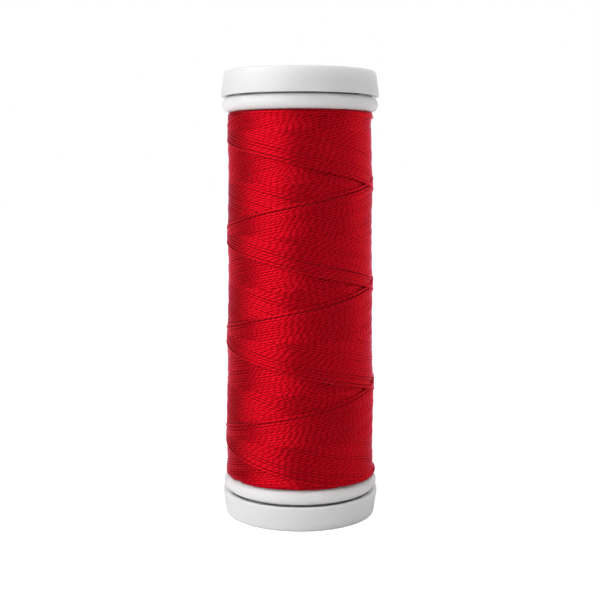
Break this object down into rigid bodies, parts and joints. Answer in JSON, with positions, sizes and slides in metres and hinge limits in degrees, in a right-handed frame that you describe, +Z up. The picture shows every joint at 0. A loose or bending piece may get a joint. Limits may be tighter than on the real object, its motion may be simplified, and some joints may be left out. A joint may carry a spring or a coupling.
{
  "type": "spool of thread",
  "caption": "Slim spool of cross-wound sewing thread with round-rimmed flanges and snap-in end caps that pull out a little to lock the thread end.",
  "frame": {"origin": "centre of the bottom cap's end face, on the surface that the spool stands on", "axes": "+Z up along the spool's axis, from the bottom cap to the top cap; X and Y are across it"},
  "size_m": [0.023, 0.023, 0.065],
  "materials": {
    "white_plastic": "satin white moulded polystyrene",
    "cap_plastic": "satin white moulded polystyrene",
    "red_thread": "bright red two-ply polyester thread with a silky sheen"
  },
  "bodies": {
    "spool": {"spool_body": "white_plastic", "thread_inner_layers": "red_thread", "thread_outer_layer": "red_thread"},
    "top_cap": {"top_cap": "cap_plastic"},
    "bottom_cap": {"bottom_cap": "cap_plastic"}
  },
  "joints": [
    {"name": "top_cap_pull", "type": "slide", "parent": "spool", "child": "top_cap", "axis": [0, 0, 1], "range_m": [0, 0.0018]},
    {"name": "bottom_cap_pull", "type": "slide", "parent": "spool", "child": "bottom_cap", "axis": [0, 0, -1], "range_m": [0, 0.0018]}
  ]
}
